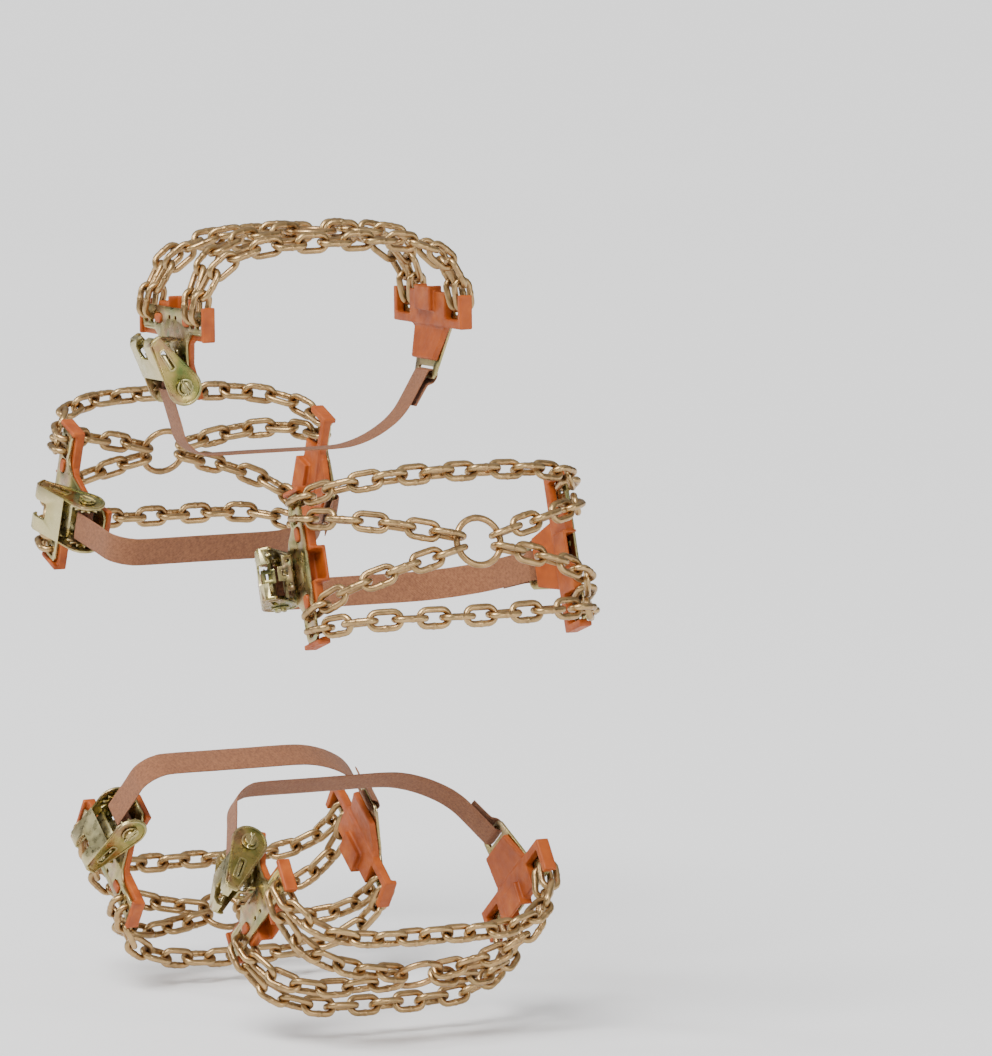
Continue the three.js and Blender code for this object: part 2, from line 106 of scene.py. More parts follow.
# Strap and ratchet
STRAP_WIDTH = 25
STRAP_THICKNESS = 1.5
STRAP_LEAVE_ANGLE = math.radians(253)
STRAP_DEPTH = 150
SPINDLE = Vector((209, -121, 0))
AXLE_RADIUS = 5
AXLE_HALF_LENGTH = 24.8
ROLL_RADIUS = 7.9
TEETH = 12
TOOTH_TIP = 13
TOOTH_ROOT = 9.2
CHEEK = 1.8
BASE_INSIDE = 13
BASE_ROUND = 10.6
BASE_END = 40
WHEEL_THICKNESS = 2.2
HANDLE_INSIDE = 19.2
HANDLE_ROUND = 15.5
HANDLE_END = 50
HANDLE_LEAN = math.radians(18)
PAWL_END = 33.2

FLOOR_Z = -0.3243  # the tyre's tread at its lowest point

rng = random.Random(7)


# ---- Camera, floor and lights ----

def aim(thing, target):
    direction = Vector(target) - thing.location
    thing.rotation_euler = direction.to_track_quat("-Z", "Y").to_euler()


def make_camera():
    """A long lens at the wheel's front quarter, a little above its middle."""
    azimuth = math.radians(64.02)
    elevation = math.radians(7.33)
    distance = 7.897
    target = Vector((0.0584, 0.1457, 0.0817))
    data = bpy.data.cameras.new("camera")
    data.sensor_width = 36
    data.lens = 320
    data.clip_end = 200
    camera = bpy.data.objects.new("camera", data)
    bpy.context.scene.collection.objects.link(camera)
    back = Vector((math.sin(azimuth) * math.cos(elevation), -math.cos(azimuth) * math.cos(elevation),
                   math.sin(elevation)))
    camera.location = target + back * distance
    aim(camera, target)
    bpy.context.scene.camera = camera


def area_light(name, place, target, size, power, colour=(1, 1, 1)):
    data = bpy.data.lights.new(name, "AREA")
    data.shape = "DISK"
    data.size = size
    data.energy = power
    data.color = colour
    light = bpy.data.objects.new(name, data)
    light.location = place
    bpy.context.scene.collection.objects.link(light)
    aim(light, target)


def sun_light(name, direction, strength, spread):
    data = bpy.data.lights.new(name, "SUN")
    data.energy = strength
    data.angle = math.radians(spread)
    light = bpy.data.objects.new(name, data)
    light.location = direction
    bpy.context.scene.collection.objects.link(light)
    aim(light, (0, 0, 0))


def make_studio():
    """A white room: a pale sky over a grey horizon, so that bright metal still shows contrast."""
    world = bpy.data.worlds.new("studio")
    world.use_nodes = True
    nodes, links = world.node_tree.nodes, world.node_tree.links
    height = nodes.new("ShaderNodeSeparateXYZ")
    links.new(nodes.new("ShaderNodeTexCoord").outputs["Generated"], height.inputs["Vector"])
    ramp = nodes.new("ShaderNodeValToRGB")
    stops = ramp.color_ramp.elements
    stops[0].position, stops[0].color = 0.05, (0.1, 0.1, 0.1, 1)
    stops[1].position, stops[1].color = 0.75, (1, 1, 1, 1)
    links.new(height.outputs["Z"], ramp.inputs["Fac"])
    background = nodes["Background"]
    links.new(ramp.outputs["Color"], background.inputs["Color"])
    background.inputs["Strength"].default_value = 0.7
    bpy.context.scene.world = world
    sun_light("key", (1.6, -2.2, 3.4), 4.4, 30)
    area_light("side", (4.2, 1.2, 1.0), (0.1, 0, 0), 0.9, 45)
    area_light("rim", (-2.2, -2.8, 1.8), (0, 0, 0), 1.0, 50, (0.95, 0.97, 1))
    bm = bmesh.new()
    bmesh.ops.create_grid(bm, x_segments=8, y_segments=8, size=40)
    bmesh.ops.translate(bm, verts=bm.verts, vec=(0, 0, FLOOR_Z))
    floor_mesh = bpy.data.meshes.new("floor")
    bm.to_mesh(floor_mesh)
    floor = bpy.data.objects.new("floor", floor_mesh)
    bpy.context.scene.collection.objects.link(floor)
    floor_mesh.materials.append(floor_material())


# ---- Materials ----

class Nodes:
    """A small helper to write a material's node tree line by line."""

    def __init__(self, name):
        self.material = bpy.data.materials.new(name)
        self.material.use_nodes = True
        self.tree = self.material.node_tree
        self.shader = self.tree.nodes["Principled BSDF"]

    def add(self, kind, **values):
        node = self.tree.nodes.new(kind)
        for key, value in values.items():
            if hasattr(node, key):
                setattr(node, key, value)
            else:
                node.inputs[key.replace("_", " ")].default_value = value
        return node

    def link(self, source, target):
        self.tree.links.new(source, target)

    def coordinates(self, kind="Object"):
        return self.add("ShaderNodeTexCoord").outputs[kind]

    def noise(self, coordinates, scale, detail=4, roughness=0.55):
        node = self.add("ShaderNodeTexNoise", Scale=scale, Detail=detail, Roughness=roughness)
        self.link(coordinates, node.inputs["Vector"])
        return node.outputs["Fac"]

    def ramp(self, factor, stops):
        node = self.add("ShaderNodeValToRGB")
        elements = node.color_ramp.elements
        while len(elements) < len(stops):
            elements.new(0.5)
        for element, (position, colour) in zip(elements, stops):
            element.position = position
            element.color = (*colour, 1)
        self.link(factor, node.inputs["Fac"])
        return node.outputs["Color"]

    def span(self, factor, low, high, start=0.3, end=0.7):
        node = self.add("ShaderNodeMapRange")
        node.inputs["From Min"].default_value = start
        node.inputs["From Max"].default_value = end
        node.inputs["To Min"].default_value = low
        node.inputs["To Max"].default_value = high
        self.link(factor, node.inputs["Value"])
        return node.outputs["Result"]

    def math(self, operation, a, b=None):
        node = self.add("ShaderNodeMath", operation=operation)
        for socket, value in zip(node.inputs, (a, b)):
            if value is None:
                continue
            if isinstance(value, (int, float)):
                socket.default_value = value
            else:
                self.link(value, socket)
        return node.outputs["Value"]

    def mix(self, factor, a, b):
        node = self.add("ShaderNodeMix", data_type="RGBA")
        colour_inputs = [s for s in node.inputs if s.type == "RGBA"]
        for socket, value in ((node.inputs[0], factor), (colour_inputs[0], a), (colour_inputs[1], b)):
            if isinstance(value, (int, float)):
                socket.default_value = value
            elif isinstance(value, tuple):
                socket.default_value = (*value, 1)
            else:
                self.link(value, socket)
        return next(s for s in node.outputs if s.type == "RGBA")

    def bump(self, height, strength, distance):
        node = self.add("ShaderNodeBump", Strength=strength, Distance=distance)
        self.link(height, node.inputs["Height"])
        self.link(node.outputs["Normal"], self.shader.inputs["Normal"])

    def set(self, **values):
        for key, value in values.items():
            socket = self.shader.inputs[key.replace("_", " ")]
            if hasattr(value, "is_output"):
                self.link(value, socket)
            else:
                socket.default_value = value


def floor_material():
    n = Nodes("floor")
    shade = n.noise(n.coordinates(), 0.6)
    n.set(Base_Color=n.ramp(shade, [(0.3, (0.93, 0.93, 0.93)), (0.7, (0.95, 0.95, 0.95))]), Roughness=0.9)
    return n.material


def chain_material(name="chain_zinc", tint=1.0):
    """Electroplated chain wire: coppery yellow zinc, paler on its convex crowns (partly wear, partly a painted
    highlight), brown elsewhere.
    """
    n = Nodes(name)
    place = n.coordinates()
    cloud = n.noise(place, 90, 5)
    tone = n.ramp(cloud, [
        (0.30, (0.105 * tint, 0.050 * tint, 0.023 * tint)),
        (0.45, (0.245 * tint, 0.128 * tint, 0.058 * tint)),
        (0.58, (0.36 * tint, 0.205 * tint, 0.086 * tint)),
        (0.72, (0.43 * tint, 0.24 * tint, 0.12 * tint)),
    ])
    # painted highlight: the wire's convex crowns are mixed towards a pale gold that stands in for light as well
    # as wear
    edge = n.add("ShaderNodeNewGeometry").outputs["Pointiness"]
    convex_paling = n.span(edge, 0, 0.5, 0.5, 0.56)
    n.set(Base_Color=n.mix(convex_paling, tone, (0.60, 0.43, 0.20)), Metallic=1.0)
    n.set(Roughness=n.span(n.noise(place, 260), 0.26, 0.46))
    n.bump(n.noise(place, 900, 3), 0.25, 0.0003)
    return n.material


def plate_material():
    """Yellow chromate over pressed steel: gold with drifting green and rose films and fine scratches."""
    n = Nodes("plate_zinc")
    place = n.coordinates()
    film = n.ramp(n.noise(place, 38, 3, 0.6), [
        (0.28, (0.11, 0.15, 0.042)),
        (0.42, (0.26, 0.22, 0.065)),
        (0.52, (0.37, 0.28, 0.095)),
        (0.62, (0.31, 0.18, 0.095)),
        (0.74, (0.15, 0.23, 0.10)),
    ])
    stain = n.span(n.noise(place, 120, 6, 0.7), 0, 0.55, 0.5, 0.75)
    # paler gold on convex edges, where the plating wears
    edge = n.add("ShaderNodeNewGeometry").outputs["Pointiness"]
    convex_paling = n.span(edge, 0, 0.7, 0.51, 0.58)
    base = n.mix(stain, film, (0.10, 0.072, 0.028))
    n.set(Base_Color=n.mix(convex_paling, base, (0.66, 0.58, 0.32)), Metallic=1.0)
    n.set(Roughness=n.span(n.noise(place, 160), 0.2, 0.42))
    n.bump(n.noise(place, 700, 4), 0.22, 0.0003)
    return n.material


def rubber_material():
    """Moulded orange rubber with a fine grain, dusty on its faces."""
    n = Nodes("pad_rubber")
    place = n.coordinates()
    tone = n.ramp(n.noise(place, 60, 5), [
        (0.3, (0.26, 0.045, 0.003)),
        (0.55, (0.37, 0.072, 0.005)),
        (0.75, (0.45, 0.105, 0.010)),
    ])
    n.set(Base_Color=tone, Roughness=n.span(n.noise(place, 200), 0.42, 0.62))
    n.shader.inputs["Specular IOR Level"].default_value = 0.4
    n.bump(n.noise(place, 1500, 2), 0.3, 0.0002)
    return n.material


def webbing_material():
    """Brown polyester webbing: ribs along the strap crossed by fine weft rows."""
    n = Nodes("strap_webbing")
    uv = n.add("ShaderNodeSeparateXYZ")
    n.link(n.coordinates("UV"), uv.inputs["Vector"])
    along, across = uv.outputs["X"], uv.outputs["Y"]
    rib = n.math("SINE", n.math("MULTIPLY", across, 2 * math.pi / 1.8))
    stagger = n.math("MULTIPLY", n.math("SIGN", rib), 0.5 * math.pi)
    weft = n.math("SINE", n.math("ADD", n.math("MULTIPLY", along, 2 * math.pi / 1.3), stagger))
    height = n.math("ADD", n.math("ABSOLUTE", rib), n.math("MULTIPLY", weft, 0.5))
    fuzz = n.noise(n.coordinates(), 500, 4)
    tone = n.ramp(n.math("ADD", n.math("MULTIPLY", height, 0.25), n.math("MULTIPLY", fuzz, 0.7)), [
        (0.25, (0.10, 0.030, 0.013)),
        (0.5, (0.235, 0.088, 0.034)),
        (0.75, (0.33, 0.135, 0.055)),
    ])
    n.set(Base_Color=tone, Roughness=0.82, Sheen_Weight=0.08)
    n.bump(height, 0.6, 0.0003)
    return n.material


# ---- Mesh helpers ----

def arc(radius, start, end, steps, u=0.0, v=0.0):
    """Points of an arc, angles in degrees."""
    angles = [math.radians(start + (end - start) * i / steps) for i in range(steps + 1)]
    return [(u + radius * math.cos(a), v + radius * math.sin(a)) for a in angles]


def circle(radius, u=0.0, v=0.0, steps=24):
    return arc(radius, 0, 360 - 360 / steps, steps - 1, u, v)


def rounded(points, radius, steps=4):
    """The same outline with every corner rounded."""
    result = []
    count = len(points)
    for i, point in enumerate(points):
        corner = Vector(point)
        before = (Vector(points[i - 1]) - corner)
        after = (Vector(points[(i + 1) % count]) - corner)
        reach = min(radius, before.length * 0.45, after.length * 0.45)
        start = corner + before.normalized() * reach
        end = corner + after.normalized() * reach
        for k in range(steps + 1):
            t = k / steps
            result.append(tuple(start * (1 - t) ** 2 + corner * 2 * t * (1 - t) + end * t * t))
    return result


def rectangle(u0, u1, v0, v1):
    return [(u0, v0), (u1, v0), (u1, v1), (u0, v1)]


def sheet(outer, holes, low, high, bevel=0.4):
    """A flat piece between two heights, with holes and softened edges, as a bmesh."""
    bm = bmesh.new()
    edges = []
    for loop in [outer, *holes]:
        verts = [bm.verts.new((u, v, low)) for u, v in loop]
        edges += [bm.edges.new((verts[i - 1], verts[i])) for i in range(len(verts))]
    bmesh.ops.triangle_fill(bm, edges=edges, use_beauty=True)
    faces = list(bm.faces)
    result = bmesh.ops.extrude_face_region(bm, geom=faces)
    moved = [g for g in result["geom"] if isinstance(g, bmesh.types.BMVert)]
    bmesh.ops.translate(bm, verts=moved, vec=(0, 0, high - low))
    bmesh.ops.recalc_face_normals(bm, faces=bm.faces)
    rim = [e for e in bm.edges if len(e.link_faces) == 2
           and abs(e.verts[0].co.z - e.verts[1].co.z) < 1e-6 and e.calc_face_angle(0) > 1.0]
    bmesh.ops.bevel(bm, geom=rim, offset=bevel, segments=2, affect="EDGES", profile=0.5)
    return bm


def skin(bm, rings, closed):
    """Quads over rows of points, capped where the row doesn't close on itself."""
    rows = [[bm.verts.new(p) for p in ring] for ring in rings]
    count = len(rows)
    size = len(rows[0])
    for i in range(count if closed else count - 1):
        here, there = rows[i], rows[(i + 1) % count]
        for j in range(size):
            k = (j + 1) % size
            bm.faces.new((here[j], here[k], there[k], there[j]))
    if not closed:
        bm.faces.new(rows[0][::-1])
        bm.faces.new(rows[-1])


def wire(bm, points, radius, sides=10, closed=False):
    """Round wire along points."""
    rings = []
    count = len(points)
    normal = None
    for i, point in enumerate(points):
        before = points[i - 1] if closed or i else points[0]
        after = points[(i + 1) % count] if closed or i < count - 1 else points[-1]
        along = (after - before).normalized()
        if normal is None:
            normal = along.orthogonal().normalized()
        normal = (normal - along * normal.dot(along)).normalized()
        side = along.cross(normal)
        size = radius[i] if isinstance(radius, list) else radius
        rings.append([point + (normal * math.cos(a) + side * math.sin(a)) * size
                      for a in (2 * math.pi * k / sides for k in range(sides))])
    skin(bm, rings, closed)


def moved(bm, matrix):
    bmesh.ops.transform(bm, matrix=matrix, verts=bm.verts)
    return bm


def to_mesh(bm, name="piece"):
    bmesh.ops.recalc_face_normals(bm, faces=bm.faces)
    mesh = bpy.data.meshes.new(name)
    bm.to_mesh(mesh)
    bm.free()
    return mesh


def evaluated(mesh, modifiers):
    """The mesh after a list of (type, settings) modifiers."""
    thing = bpy.data.objects.new("scratch", mesh)
    bpy.context.scene.collection.objects.link(thing)
    for kind, settings in modifiers:
        modifier = thing.modifiers.new(kind, kind)
        for key, value in settings.items():
            setattr(modifier, key, value)
    result = bpy.data.meshes.new_from_object(thing.evaluated_get(bpy.context.evaluated_depsgraph_get()))
    bpy.data.objects.remove(thing)
    return result


def union(first, *others):
    """One closed mesh from overlapping ones."""
    result = to_mesh(first)
    for other in others:
        tool = bpy.data.objects.new("tool", to_mesh(other))
        bpy.context.scene.collection.objects.link(tool)
        settings = {"operation": "UNION", "solver": "EXACT", "object": tool}
        result = evaluated(result, [("BOOLEAN", settings)])
        bpy.data.objects.remove(tool)
    bm = bmesh.new()
    bm.from_mesh(result)
    bmesh.ops.remove_doubles(bm, verts=bm.verts, dist=0.002)
    return bm


def without(body, tool):
    """A body less another."""
    mesh = to_mesh(body)
    cutter = bpy.data.objects.new("cutter", to_mesh(tool))
    bpy.context.scene.collection.objects.link(cutter)
    result = evaluated(mesh, [("BOOLEAN", {"operation": "DIFFERENCE", "solver": "EXACT", "object": cutter})])
    bpy.data.objects.remove(cutter)
    bm = bmesh.new()
    bm.from_mesh(result)
    return bm


def gathered(*parts):
    """Several closed bodies in one bmesh."""
    bm = bmesh.new()
    for part in parts:
        mesh = to_mesh(part)
        bm.from_mesh(mesh)
        bpy.data.meshes.remove(mesh)
    return bm


RATCHET = Matrix.Translation(SPINDLE) @ Matrix.Rotation(-TONGUE_LEAN, 4, "Z")
HANDLE = RATCHET @ Matrix.Rotation(-HANDLE_LEAN, 4, "Z")
# a sheet drawn in z-y, stood along x
ACROSS = Matrix(((0, 0, 1, 0), (0, 1, 0, 0), (1, 0, 0, 0), (0, 0, 0, 1)))
FLOOR = ((-SPINDLE.y - PLATE_FRONT + (BEND - SPINDLE.x) * math.tan(TONGUE_LEAN)) * math.cos(TONGUE_LEAN)
         - GAP)  # underside of the ratchet's floor, from the spindle


# ---- Chains ----

def section_angle_at_radius(radius):
    return math.asin(((radius - SIDEWALL_RADIUS) / (CROWN_RADIUS - SIDEWALL_RADIUS)) ** (CROWN_POWER / 2))


def section_angle_at_y(y):
    return math.acos(-math.copysign((abs(y) / HALF_WIDTH) ** (SIDEWALL_POWER / 2), y))


def section_point(angle):
    c, s = math.cos(angle), math.sin(angle)
    radius = SIDEWALL_RADIUS + (CROWN_RADIUS - SIDEWALL_RADIUS) * s ** (2 / CROWN_POWER)
    return Vector((radius, -HALF_WIDTH * math.copysign(abs(c) ** (2 / SIDEWALL_POWER), c), 0))


def lengths(points):
    result = [0.0]
    for a, b in zip(points, points[1:]):
        result.append(result[-1] + (b - a).length)
    return result


def spaced(points, count):
    """Points at equal distances along a dense line."""
    marks = lengths(points)
    result = []
    i = 0
    for k in range(count + 1):
        target = marks[-1] * k / count
        while i < len(points) - 2 and marks[i + 1] < target:
            i += 1
        t = (target - marks[i]) / (marks[i + 1] - marks[i])
        result.append(points[i].lerp(points[i + 1], t))
    return result


def chain_joints(start, end, z_at, links):
    steps = 400
    section = spaced([section_point(start + (end - start) * i / steps) for i in range(steps + 1)], steps)
    line = []
    for i, point in enumerate(section):
        z = z_at(i / steps)
        line.append(Vector((math.sqrt(point.x ** 2 - z * z), point.y, z)))
    return spaced(line, links)


def surface_normal(point, along):
    radial = Vector((point.x, 0, point.z)).normalized()
    normal = radial * along.y - Vector((0, 1, 0)) * along.dot(radial)
    normal = (normal - along * normal.dot(along)).normalized()
    from_core = Vector((point.x - SIDEWALL_RADIUS, point.y, 0))
    return -normal if normal.dot(from_core) < 0 else normal


def add_link(bm, centre, along, wide, pitch):
    """A welded oval link of round wire, with the bead of its weld on one limb."""
    across = along.cross(wide)
    bend = (LINK_WIDTH - WIRE) / 2
    half = (pitch + 2 * WIRE - LINK_WIDTH) / 2
    bead_points = (3.2, 2.2, 1.4, 0.7, 0, -0.7, -1.4, -2.2, -3.2)
    path = [(half + bend * math.cos(a), bend * math.sin(a), a, 1.0)
            for a in (math.radians(-90 + 20 * i) for i in range(10))]
    path += [(a, bend, math.pi / 2, 1 + 0.13 * math.exp(-(a / 1.4) ** 2)) for a in bead_points]
    path += [(-half + bend * math.cos(a), bend * math.sin(a), a, 1.0)
             for a in (math.radians(90 + 20 * i) for i in range(10))]
    rings = []
    for u, v, angle, swell in path:
        out = along * math.cos(angle) + wide * math.sin(angle)
        point = centre + along * u + wide * v
        rings.append([point + (out * math.cos(b) + across * math.sin(b)) * (WIRE / 2 * swell)
                      for b in (2 * math.pi * k / 12 for k in range(12))])
    skin(bm, rings, True)


def chain(joints, still=1):
    """Links between joints, standing and lying by turns, each a little twisted."""
    bm = bmesh.new()
    for i, (start, end) in enumerate(zip(joints, joints[1:])):
        along = (end - start).normalized()
        middle = start.lerp(end, 0.5)
        normal = surface_normal(middle, along)
        wide = normal if i % 2 == 0 else along.cross(normal)
        free = still <= i < len(joints) - 1 - still
        twist = math.radians(rng.uniform(-9, 9)) if free else 0
        wide = Matrix.Rotation(twist, 3, along) @ wide
        add_link(bm, middle, along, wide, (end - start).length)
    return bm


def hole_angle(z):
    return section_angle_at_radius(math.hypot(CHAIN_HOLE_TOP - 3 * GAP, z))


def side_chain(direction):
    start = hole_angle(SIDE_CHAIN_HALF_GAP)
    joints = chain_joints(start, math.pi - start,
                          lambda t: direction * (SIDE_CHAIN_HALF_GAP + SIDE_CHAIN_BOW * math.sin(math.pi * t)),
                          SIDE_CHAIN_LINKS)
    return chain(joints)


def chain_arm(plate_side, direction):
    reach = RING_RADIUS - WIRE / 2
    angle = math.radians(RING_ARM_ANGLE)
    end_y = RING_Y + plate_side * reach * math.cos(angle)
    end_z = direction * reach * math.sin(angle)
    hole = hole_angle(ARM_HALF_GAP)
    start = hole if plate_side < 0 else math.pi - hole
    joints = chain_joints(start, section_angle_at_y(end_y),
                          lambda t: direction * ARM_HALF_GAP * (1 - t) + end_z * t, ARM_LINKS)
    return chain(joints)


def ring():
    bm = bmesh.new()
    steps = 72
    points, sizes = [], []
    for i in range(steps):
        a = 2 * math.pi * i / steps
        points.append(Vector((CROWN_RADIUS, RING_Y + RING_RADIUS * math.cos(a), RING_RADIUS * math.sin(a))))
        sizes.append(WIRE / 2 * (1 + 0.1 * math.exp(-(((a - 1.6) * RING_RADIUS / 1.5) ** 2))))
    wire(bm, points, sizes, 14, True)
    return bm


# ---- Plates and pads ----

def lean(bm, side):
    """Bends a sheet drawn with x up the wheel and its height outwards, at the tongue's root."""
    length = BEND_RADIUS * TONGUE_LEAN
    for vert in bm.verts:
        x, z, out = vert.co
        s = BEND - x
        turn = TONGUE_LEAN * min(max(s / length, 0), 1)
        px = x if s <= 0 else BEND - BEND_RADIUS * math.sin(turn)
        py = PLATE_FRONT if s <= 0 else PLATE_FRONT - BEND_RADIUS * (1 - math.cos(turn))
        if s > length:
            px -= (s - length) * math.cos(turn)
            py -= (s - length) * math.sin(turn)
        vert.co = (px - out * math.sin(turn), side * (py + out * math.cos(turn)), z)
    bmesh.ops.recalc_face_normals(bm, faces=bm.faces)
    return bm


def cut_across(bm, positions):
    """New edges across a sheet, so that it can bend there."""
    for x in positions:
        geometry = list(bm.verts) + list(bm.edges) + list(bm.faces)
        bmesh.ops.bisect_plane(bm, geom=geometry, plane_co=(x, 0, 0), plane_no=(1, 0, 0))
    return bm


def bend_rows():
    length = BEND_RADIUS * TONGUE_LEAN
    return [BEND - length * i / 4 for i in range(5)]


HOLE_CENTRES = (-SIDE_CHAIN_HALF_GAP, -ARM_HALF_GAP, ARM_HALF_GAP, SIDE_CHAIN_HALF_GAP)


def along_tongue(x):
    """Where a point of the tongue lies on the sheet before it is bent."""
    return BEND - (BEND - x) / math.cos(TONGUE_LEAN)


def tongue_widths(side):
    """Half widths at the tongue's root and end, and where its taper ends."""
    if side < 0:
        return TONGUE_ROOT_HALF_WIDTH, OUTER_TONGUE_HALF_WIDTH, OUTER_TONGUE_TAPER_END
    return TONGUE_ROOT_HALF_WIDTH, INNER_TONGUE_HALF_WIDTH, INNER_TONGUE_END + 5


def boss_outline(sign, clearance):
    high, wide = BOSS_HALF_HEIGHT + clearance, BOSS_HALF_LENGTH + clearance
    middle = sign * BOSS_HALF_GAP
    return rounded(rectangle(BOSS_POSITION - high, BOSS_POSITION + high, middle - wide, middle + wide), 4, 6)


def plate(side):
    end = along_tongue(OUTER_TONGUE_END if side < 0 else INNER_TONGUE_END)
    root, tip, taper_end = tongue_widths(side)
    length = PLATE_HALF_LENGTH
    half = [(PLATE_TOP, length - 3), (PLATE_TOP - 3, length), (PLATE_BOTTOM + 3, length),
            (PLATE_BOTTOM, length - 3), (PLATE_BOTTOM, root + 8), (BEND + 1, root),
            (along_tongue(taper_end), tip), (end + 4, tip), (end, tip - 4)]
    outer = rounded(half + [(x, -z) for x, z in reversed(half)], 4)
    holes = [rounded(rectangle(CHAIN_HOLE_TOP - CHAIN_HOLE_HEIGHT, CHAIN_HOLE_TOP,
                               z - CHAIN_HOLE_HALF_WIDTH, z + CHAIN_HOLE_HALF_WIDTH), 2.5) for z in HOLE_CENTRES]
    holes += [boss_outline(s, 0.5) for s in (-1, 1)]
    holes += [rounded(rectangle(264.5, 267.5, z - 2, z + 2), 0.9) for z in (-6.2, 6.2)]
    if side > 0:
        slot = STRAP_WIDTH / 2 + 1
        holes.append(rounded(rectangle(along_tongue(209), along_tongue(214), -slot, slot), 1.8))
    body = sheet(outer, holes, -SHEET, 0, 0.5)
    parts = [lean(cut_across(body, bend_rows()), side)]
    for s in (-1, 1):
        bead = bmesh.new()
        line = [(255.6, root + 6), (255.2, root + 9), (255.2, length - 8), (255.4, length - 3.5)]
        wire(bead, [Vector((x, side * (PLATE_FRONT - 0.5), s * z)) for x, z in line], [0.5, 1.3, 1.3, 0.5], 12)
        parts.append(bead)
    return gathered(*parts)


def pad(side):
    near = -(SHEET + GAP)
    far = near - PAD_THICKNESS
    back = far - TAB_DEPTH
    end = PAD_HALF_LENGTH
    pocket = TAB_HALF_LENGTH - TAB_WALL
    pocket_floor = TAB_FOOT + TAB_WALL
    notch_floor = CHAIN_HOLE_TOP - CHAIN_HOLE_HEIGHT - 3
    low, high = ARM_HALF_GAP - NOTCH_SIDE, SIDE_CHAIN_HALF_GAP + NOTCH_SIDE
    half = [(pocket_floor, pocket), (PAD_TOP, pocket), (PAD_TOP, low), (notch_floor, low), (notch_floor, high),
            (PAD_TOP, high), (PAD_TOP, end), (PAD_BOTTOM, end)]
    parts = [sheet(half + [(x, -z) for x, z in reversed(half)], [], far, near, 0.3)]
    tab_back = rectangle(TAB_FOOT, TAB_TOP, -TAB_HALF_LENGTH, TAB_HALF_LENGTH)
    tab_foot = rectangle(TAB_FOOT, pocket_floor, -TAB_HALF_LENGTH, TAB_HALF_LENGTH)
    parts.append(sheet(tab_back, [], back, back + TAB_WALL, 0.3))
    parts.append(sheet(tab_foot, [], back, near, 0.3))
    for s in (-1, 1):
        walls = sorted((s * pocket, s * TAB_HALF_LENGTH))
        parts.append(sheet(rectangle(TAB_FOOT, TAB_TOP, *walls), [], back, near, 0.3))
        lips = sorted((s * end, s * (PLATE_HALF_LENGTH + GAP)))
        parts.append(sheet(rectangle(PAD_BOTTOM, PAD_TOP, *lips), [], far, LIP_DEPTH, 0.3))
        parts.append(sheet(boss_outline(s, 0), [], near - 1, LIP_DEPTH, 0.3))
    foot = along_tongue(OUTER_TONGUE_END - 1 if side < 0 else 219)
    root, tip, taper_end = tongue_widths(side)
    taper_end = max(along_tongue(taper_end), foot + 1)
    margin = 0.1 if side < 0 else 0.8
    half = [(foot, tip + margin), (taper_end, tip + margin), (BEND, root + 1), (BEND + 8, root + 8)]
    tongue = sheet(half + [(x, -z) for x, z in reversed(half)], [], near - TONGUE_PAD_THICKNESS, near, 0.3)
    parts.append(cut_across(tongue, bend_rows()))
    body = to_mesh(gathered(*[lean(part, side) for part in parts]))
    soft = evaluated(body, [("REMESH", {"mode": "VOXEL", "voxel_size": 0.8}),
                            ("SMOOTH", {"factor": 0.5, "iterations": 4})])
    bm = bmesh.new()
    bm.from_mesh(soft)
    return bm


# ---- Strap ----

def catmull(points, per_span):
    """A smooth line through points."""
    ends = [points[0] * 2 - points[1], *points, points[-1] * 2 - points[-2]]
    result = []
    for a, b, c, d in zip(ends, ends[1:], ends[2:], ends[3:]):
        for k in range(per_span):
            t = k / per_span
            result.append(0.5 * (2 * b + (c - a) * t + (2 * a - 5 * b + 4 * c - d) * t ** 2
                                 + (3 * b - a - 3 * c + d) * t ** 3))
    result.append(points[-1])
    return result


def strap():
    leave = ROLL_RADIUS + GAP + STRAP_THICKNESS / 2
    c, s = math.cos(STRAP_LEAVE_ANGLE), math.sin(STRAP_LEAVE_ANGLE)
    x, y = SPINDLE.x + leave * c, SPINDLE.y + leave * s
    route = [(x + run * s, y - run * c) for run in (0, 15, 30, 44)]
    route += [(156.5, -110), (152, -102), (STRAP_DEPTH, -91), (STRAP_DEPTH, -50), (STRAP_DEPTH, -10),
              (STRAP_DEPTH, 22), (152, 40), (158, 58), (167, 74), (176, 84.5), (186, 92),
              (208, 105.4), (211.2, 108.2), (211.6, 112.5), (209, 115.6), (205, 115), (201, 112),
              (199.6, 108.6), (197.5, 105.6), (182, 95.6)]
    line = catmull([Vector((a, b, 0)) for a, b in route], 6)
    marks = lengths(line)
    bm = bmesh.new()
    uv = bm.loops.layers.uv.new("weave")
    across = 10
    rows = []
    for i, point in enumerate(line):
        along = (line[min(i + 1, len(line) - 1)] - line[max(i - 1, 0)]).normalized()
        out = Vector((-along.y, along.x, 0))
        loop = []
        for face in (1, -1):
            for k in range(across + 1):
                t = face * (1 - 2 * k / across)
                thickness = STRAP_THICKNESS / 2 * (1 - 0.5 * abs(t) ** 8)
                loop.append(point + out * (face * thickness) + Vector((0, 0, t * STRAP_WIDTH / 2)))
        rows.append(loop)
    skin(bm, rows, False)
    bm.verts.index_update()
    size = 2 * (across + 1)
    for face in bm.faces:
        for corner in face.loops:
            row, column = divmod(corner.vert.index, size)
            column = column if column <= across else size - 1 - column
            corner[uv].uv = (marks[row], column * STRAP_WIDTH / across)
    return bm


# ---- Ratchet ----

def cheek_pair(outline, holes, inside, thickness, bevel=0.4):
    return [sheet(outline, holes, low, low + thickness, bevel) for low in (inside, -inside - thickness)]


